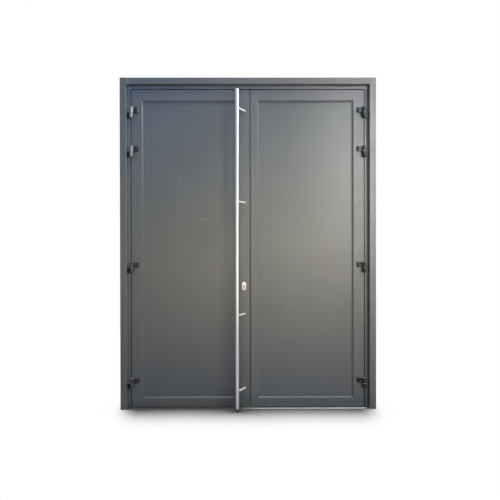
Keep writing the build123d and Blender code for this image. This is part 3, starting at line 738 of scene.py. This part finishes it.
# %% A low round head
def crowned_head(name, radius, rise, crown, socket=0.0):
    """A low round head that stands on z = 0: its rim, the crown above it, and a hexagon socket."""
    sunk = 0.0003
    shares = ((0.22, 0.7), (0.3, 0.3))  # of the radius to inset, and of the crown to lift
    bevel_share = 0.12
    deselect_all()
    bpy.ops.mesh.primitive_cylinder_add(
        vertices=40, radius=radius, depth=rise + sunk, location=(0, 0, (rise - sunk) / 2)
    )
    head = bpy.context.object
    head.name = name
    settle(head)
    open_mesh(head)
    crowned = pick_faces(head, lambda middle, normal: normal.z > 0.9)
    for inset, lift in shares:
        bpy.ops.mesh.inset(thickness=radius * inset)
        bpy.ops.transform.translate(value=(0, 0, crown * lift))
    bpy.ops.object.mode_set(mode="OBJECT")
    if socket:
        deselect_all()
        bpy.ops.mesh.primitive_cylinder_add(
            vertices=6, radius=socket, depth=2 * rise, location=(0, 0, rise + crown)
        )
        cutter = bpy.context.object
        apply_modifier(head, "BOOLEAN", operation="DIFFERENCE", object=cutter, solver="EXACT")
        bpy.data.objects.remove(cutter)
    apply_modifier(
        head, "BEVEL", width=rise * bevel_share, segments=2, limit_method="ANGLE",
        angle_limit=math.radians(40),
    )
    settle(head)
    print(name, "has", crowned, "top face, and", len(head.data.polygons), "faces when finished")
    return head


plate_screw = crowned_head("plate_screw", radius=0.0038, rise=0.0004, crown=0.0003, socket=0.0016)

# %% [markdown]
# ## Copies on a body
# A head is modelled once, at the origin with its top up, and copied to where it is needed, each
# copy with its own mesh. The copies that belong together become one piece. It gets its
# finish, and it rides on the body that carries it, so it moves when the leaf swings.

# %% Copies on a body
def scatter(model, name, places, body, coat):
    """Copies a model to places of (point, direction), joins the copies and hangs them on a body."""
    deselect_all()
    for point, direction in places:
        copy = bpy.data.objects.new(name, model.data.copy())
        scene.collection.objects.link(copy)
        turn_up = Vector(direction).to_track_quat("Z", "Y").to_matrix().to_4x4()
        copy.data.transform(Matrix.Translation(point) @ turn_up)
        copy.select_set(True)
        bpy.context.view_layer.objects.active = copy
    bpy.ops.object.join()
    joined = bpy.context.view_layer.objects.active
    joined.name = name
    joined.data.materials.clear()
    joined.data.materials.append(coat)
    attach(joined, body)
    print(name, "is", len(places), "of", model.name)


# %% [markdown]
# ## Screws in the leaf edges
# The faceplate of the lock has four screws, the strike plate three, and each flush bolt two.
# They sit on the middle line of their plates, clear of the bolts. The plates' own boxes say
# where that is, so the screws follow when a plate changes. Only the ends of the bolts stand
# half a millimetre proud of the faceplate, and that is taken off its box.

# %% Screws in the leaf edges
bolt_proud = 0.0005
from_middle = (-0.112, -0.074, 0.072, 0.112)
strike_end = 0.010
flush_plate_height, flush_plate_end = 0.190, 0.012


def edge_screws(plate, heights, outward, proud, body, name):
    """Screws on the middle line of an upright plate, at these heights in metres."""
    low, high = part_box(plate)
    face = low.x + proud if outward < 0 else high.x - proud
    middle = (low.y + high.y) / 2
    places = [(Vector((face, middle, height)), (outward, 0, 0)) for height in heights]
    scatter(plate_screw, name, places, body, brushed_steel)


lock_low, lock_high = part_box("lock_faceplate")
lock_middle = (lock_low.z + lock_high.z) / 2
lock_heights = [lock_middle + offset for offset in from_middle]
edge_screws("lock_faceplate", lock_heights, 1, bolt_proud, "active_leaf", "lock_faceplate_screws")

low, high = (corner.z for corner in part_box("strike_plate"))
strike_heights = [low + strike_end, (low + high) / 2, high - strike_end]
edge_screws("strike_plate", strike_heights, -1, 0, "passive_leaf", "strike_plate_screws")

low, high = (corner.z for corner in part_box("flush_bolts"))
far_end = flush_plate_height - flush_plate_end
flush_heights = [low + flush_plate_end, low + far_end, high - far_end, high - flush_plate_end]
edge_screws("flush_bolts", flush_heights, -1, 0, "passive_leaf", "flush_bolt_screws")

# %% [markdown]
# ## Caps on the hinge knuckles
# The lower knuckle of each hinge belongs to the frame and the upper one to the leaf, so the
# lower caps ride on the frame and the upper ones on their leaf. They face down and up. The
# box of the pins gives their axis and the box of each wing their height, so the caps follow
# when a hinge moves.

# %% Caps on the hinge knuckles
knuckle_cap = crowned_head("knuckle_cap", radius=0.0082, rise=0.0008, crown=0.0006, socket=0.0026)
hinge_numbers = (1, 2, 3, 4)
down, upwards = (0, 0, -1), (0, 0, 1)
for hand, body, coat in (
    ("left", "active_leaf", left_hinge_coat), ("right", "passive_leaf", right_hinge_coat)
):
    pin_low, pin_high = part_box(f"{hand}_hinge_pins")
    axis_x, axis_y = (pin_low.x + pin_high.x) / 2, (pin_low.y + pin_high.y) / 2
    feet = [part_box(f"{hand}_hinge_{number}_frame_wing")[0].z for number in hinge_numbers]
    tops = [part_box(f"{hand}_hinge_{number}_leaf_wing")[1].z for number in hinge_numbers]
    lower = [(Vector((axis_x, axis_y, foot)), down) for foot in feet]
    upper = [(Vector((axis_x, axis_y, top)), upwards) for top in tops]
    scatter(knuckle_cap, f"{hand}_hinge_caps_below", lower, "frame", coat)
    scatter(knuckle_cap, f"{hand}_hinge_caps_above", upper, body, coat)

# %% [markdown]
# ## Plugs in the ends of the bar
# The bar is a tube, and a slightly crowned plug closes each end. The seam around the plug is
# what tells a tube from a rod. The same low head makes them, wider and without a socket.

# %% Plugs in the ends of the bar
end_plug = crowned_head("end_plug", radius=0.0125, rise=0.0007, crown=0.0008)
bar_low, bar_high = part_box("pull_bar")
bar_x, bar_y = (bar_low.x + bar_high.x) / 2, (bar_low.y + bar_high.y) / 2
bar_foot, bar_top = Vector((bar_x, bar_y, bar_low.z)), Vector((bar_x, bar_y, bar_high.z))
bar_ends = [(bar_foot, down), (bar_top, upwards)]
scatter(end_plug, "pull_bar_plugs", bar_ends, "active_leaf", brushed_steel)

# %% [markdown]
# ## Screws in the sill
# The sill plate is screwed down behind the drop seals, where rain doesn't reach the holes. Five
# screws share its width, and they stay 13 mm in front of its back edge, which the plate's own
# box gives.

# %% Screws in the sill
sill_screw = crowned_head("sill_screw", radius=0.0045, rise=0.0005, crown=0.0003, socket=0.002)
screw_spacing = 0.41
from_back_edge = 0.013
sill_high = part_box("sill")[1]
screw_line = sill_high.y - from_back_edge
sill_places = [
    (Vector((count * screw_spacing, screw_line, sill_high.z)), upwards) for count in (-2, -1, 0, 1, 2)
]
scatter(sill_screw, "sill_screws", sill_places, "frame", brushed_steel)

# %% [markdown]
# ## The ring around the key plug
# The part of the cylinder that turns with the key is a plug in the round head, and a raised
# ring frames it. A ring is a small profile that is spun once around an axis, which keeps its
# section even all the way round. Spinning can turn a surface inside out, so the doubled seam
# is merged first and the normals are recalculated after it.

# %% The ring around the key plug
ring_radius, ring_width, ring_height, ring_lift = 0.0066, 0.0011, 0.0007, 0.00005
ring_place = (ring_radius, 0, ring_lift)
ring_bevel = 0.0002
deselect_all()
bpy.ops.mesh.primitive_plane_add(size=1, location=ring_place)
ring = bpy.context.object
ring.name = "plug_ring"
bpy.ops.transform.resize(value=(ring_width, ring_height, 1))
bpy.ops.transform.rotate(value=math.radians(90), orient_axis="X", center_override=ring_place)
settle(ring)
open_mesh(ring)
bpy.ops.mesh.select_all(action="SELECT")
bpy.ops.mesh.bevel(offset=ring_bevel, segments=2, affect="VERTICES")
bpy.ops.mesh.select_all(action="SELECT")
bpy.ops.mesh.spin(steps=48, angle=math.tau, center=(0, 0, 0), axis=(0, 0, 1))
bpy.ops.mesh.select_all(action="SELECT")
bpy.ops.mesh.remove_doubles(threshold=0.000001)
bpy.ops.mesh.normals_make_consistent(inside=False)
bpy.ops.object.mode_set(mode="OBJECT")
settle(ring)
print("the ring has", len(ring.data.polygons), "faces")

# %% [markdown]
# ## A ring on each side
# The lock opens with a key from outside and inside, so the cylinder has a round head with a
# plug at each end. The head is as wide as the cylinder, which gives the plug's middle.

# %% A ring on each side
cylinder_low, cylinder_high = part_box("lock_cylinder")
plug_x = (cylinder_low.x + cylinder_high.x) / 2
plug_z = cylinder_high.z - (cylinder_high.x - cylinder_low.x) / 2
ring_places = [
    (Vector((plug_x, cylinder_low.y, plug_z)), (0, -1, 0)),
    (Vector((plug_x, cylinder_high.y, plug_z)), (0, 1, 0)),
]
scatter(ring, "key_plug_rings", ring_places, "active_leaf", worn_shaded_nickel)

# %% [markdown]
# ## Clear the models
# The heads and the ring at the origin were only models to copy from. Left there, they would
# show as loose pieces in the doorway, so they are removed, and the copies stay.

# %% Clear the models
for model in (plate_screw, knuckle_cap, end_plug, sill_screw, ring):
    bpy.data.objects.remove(model)
print("models removed, copies stay")

# %% [markdown]
# ## The world
# The photograph was taken outdoors, under a bright sky. The world fills in evenly with a weak
# pale blue, as open shade does. Rays from the camera and from glossy surfaces see it white
# instead, so that the background is pale and steel has something bright to mirror, and the
# door gets no more light from it.

# %% The world
def seen(tree, *kinds):
    """1 for rays of these kinds and 0 for all others."""
    path = tree.nodes.new("ShaderNodeLightPath")
    found = path.outputs[kinds[0]]
    for kind in kinds[1:]:
        found = sums(tree, "MAXIMUM", found, path.outputs[kind])
    return found


def two_faced(tree, rays, to_others, to_rays, output_kind):
    """Shows one shader to the given rays and another one to all others."""
    mix = tree.nodes.new("ShaderNodeMixShader")
    tree.links.new(rays, mix.inputs[0])
    tree.links.new(to_others.outputs[0], mix.inputs[1])
    tree.links.new(to_rays.outputs[0], mix.inputs[2])
    output = tree.nodes.new(output_kind)
    tree.links.new(mix.outputs[0], output.inputs["Surface"])


world = bpy.data.worlds.new("studio")
scene.world = world
world.use_nodes = True
tree = world.node_tree
tree.nodes.clear()
direct = seen(tree, "Is Camera Ray", "Is Glossy Ray", "Is Transmission Ray")
fill = node(tree, "ShaderNodeBackground", Color=(0.66, 0.84, 1.0, 1), Strength=0.122)
white = node(tree, "ShaderNodeBackground", Color=(1, 1, 1, 1), Strength=1.0)
two_faced(tree, direct, fill, white, "ShaderNodeOutputWorld")
print("the world is white to the camera")

# %% [markdown]
# ## Lamps
# A door outdoors gets its light from all round: white cloud high on the right, deep blue sky on
# the left, and sunlit ground in front, which is warm. One lamp can't do that, so each of these
# is a soft rectangle of its own, with a colour and a power. A narrow beam keeps a lamp to the
# part of the door that it is for. Smooth metal would mirror some of the lamps as hard bright
# blocks that no sky has, so those light the paint but aren't seen in reflections.

# %% A soft lamp
def soft_lamp(name, location, target, size, power, colour, beam, mirrored):
    """A rectangular lamp that looks at a point, with a beam of so many degrees; only a
    mirrored one shows in glossy surfaces."""
    data = bpy.data.lights.new(name, "AREA")
    data.shape = "RECTANGLE"
    data.size, data.size_y = size
    data.energy = power
    data.color = colour
    data.spread = math.radians(beam)
    lamp = bpy.data.objects.new(name, data)
    scene.collection.objects.link(lamp)
    lamp.location = location
    lamp.visible_glossy = mirrored
    aim = Vector(target) - Vector(location)
    lamp.rotation_euler = aim.to_track_quat("-Z", "Y").to_euler()
    print(name, "stands", round(aim.length, 2), "m from what it lights")


print("lamps can be set up")

# %% [markdown]
# ## Sky and ground in front
# The high key and the two edge lamps model the casing and the right leaf. The sky lamp lays
# a blue tint over the left leaf, and the corner lamp does so in the top left corner alone.
# The three low lamps stand for the warm light that comes back from the ground.

# %% Sky and ground in front
# Name, place, target, width and height in metres, watts, colour, beam in degrees, mirrored
front_lamps = (
    ("high_key_lamp", (2.7, -2.6, 3.1), (0.5, 0, 1.8), (1.2, 1.6), 9.6, (0.52, 0.78, 1.0), 70, True),
    ("right_edge_lamp", (2.1, -2.6, 2.3), (1.0, 0, 1.75), (0.4, 1.6), 9.2, (1.0, 0.91, 0.76), 50, True),
    ("left_edge_lamp", (-1.8, -2.6, 1.5), (-1.0, 0, 1.4), (0.6, 1.8), 0.9, (0.68, 1.0, 0.79), 60, True),
    ("sky_lamp", (-0.85, -3.5, 3.3), (-0.5, 0, 1.9), (1.0, 1.0), 27, (0.0, 0.38, 1.0), 180, False),
    ("corner_lamp", (-1.6, -2.4, 2.9), (-0.75, 0, 2.45), (0.6, 0.6), 1.9, (0.0, 0.36, 1.0), 45, False),
    ("middle_lamp", (0.6, -2.6, 1.5), (0.2, 0, 1.5), (1.4, 0.9), 4.4, (1.0, 0.95, 0.52), 90, True),
    ("right_meadow_lamp", (1.6, -2.6, 0.9), (0.7, 0, 1.0), (1.6, 0.9), 5.5, (1.0, 0.81, 0.55), 80, True),
    ("left_meadow_lamp", (-0.5, -2.6, 1.0), (-0.5, 0, 1.1), (1.4, 0.8), 4, (1.0, 0.71, 0.38), 90, True),
)
for row in front_lamps:
    soft_lamp(*row)

# %% [markdown]
# ## Light along the door and from behind
# Fine edges only show when light grazes them. The side lamp stands almost in the plane of the
# door and lights all sides that face right, the top lamp lights ledges, and the high side lamp
# draws the bead lines and glints on the standoffs. The back lamp is for the inside.

# %% Light along the door and from behind
grazing_lamps = (
    ("side_lamp", (3.8, -0.36, 1.7), (-0.9, 0, 1.3), (0.5, 2.4), 105, (1.0, 0.95, 0.80), 180, False),
    ("top_lamp", (0.5, -0.40, 4.7), (0.1, 0, 1.0), (1.8, 0.5), 120, (1.0, 1.0, 1.0), 180, True),
    ("high_side_lamp", (3.0, -0.9, 3.9), (-0.3, 0, 1.3), (1.2, 1.0), 85, (1.0, 0.96, 0.88), 180, True),
    ("back_lamp", (-0.8, 3.4, 2.8), (0, 0, 1.2), (2.4, 1.6), 70, (0.92, 0.96, 1.0), 180, True),
)
for row in grazing_lamps:
    soft_lamp(*row)

# %% [markdown]
# ## The floor
# The door stands on a white floor that runs into the white background. A floor bright enough
# to be white by lamp light alone would throw that light back on the door. So the camera and
# glossy surfaces see a floor that shines by itself, and all other rays meet a plain grey one.
# It is darkened where little of the sky reaches it: once in a wide reach, for the soft shadow
# in front of the door, and once in a short reach, for the dark line where casing and sill
# touch it. The door is meant for a wall, so both shadows fade out beside the casing.

# %% The floor
shadow_reach, contact_reach = 0.42, 0.22
beside_casing = (0.84, 1.0)
floor_size, below_sill = 60, 0.0005
deselect_all()
bpy.ops.mesh.primitive_plane_add(size=floor_size, location=(0, 0, -below_sill))
floor = bpy.context.object
floor.name = "floor"
floor_material = bpy.data.materials.new("white_floor")
floor_material.use_nodes = True
tree = floor_material.node_tree
tree.nodes.clear()
wide = node(tree, "ShaderNodeAmbientOcclusion", Distance=shadow_reach)
close = node(tree, "ShaderNodeAmbientOcclusion", Distance=contact_reach)
wide.samples = close.samples = 16
beside = spread(tree, sums(tree, "ABSOLUTE", axes(tree)["X"]), *beside_casing, 1, 0.08)
shadow = sums(tree, "MULTIPLY", spread(tree, wide.outputs["AO"], 0.45, 0.93, 0.92, 0), beside)
contact = sums(tree, "MULTIPLY", spread(tree, close.outputs["AO"], 0.45, 0.97, 0.78, 0), beside)
left_over = [sums(tree, "SUBTRACT", 1.0, dark) for dark in (shadow, contact)]
glow = tree.nodes.new("ShaderNodeEmission")
tree.links.new(sums(tree, "MULTIPLY", *left_over), glow.inputs["Strength"])
grey = node(tree, "ShaderNodeBsdfDiffuse", Color=(0.3, 0.3, 0.3, 1))
direct = seen(tree, "Is Camera Ray", "Is Glossy Ray")
two_faced(tree, direct, grey, glow, "ShaderNodeOutputMaterial")
floor.data.materials.append(floor_material)
floor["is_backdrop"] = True
print("floor laid")

# %% [markdown]
# ## Finish
# The Standard view shows each colour as it is. The box of the dressed door is measured once
# more and kept beside the box of the parts, so that a piece that sticks out would show.

# %% Finish
scene.view_settings.view_transform = "Standard"
low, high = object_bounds()
{"cad": [list(cad_low), list(cad_high)], "visual": [list(low), list(high)]}
print("the dressed door measures", [round(v, 3) for v in high - low], "m")
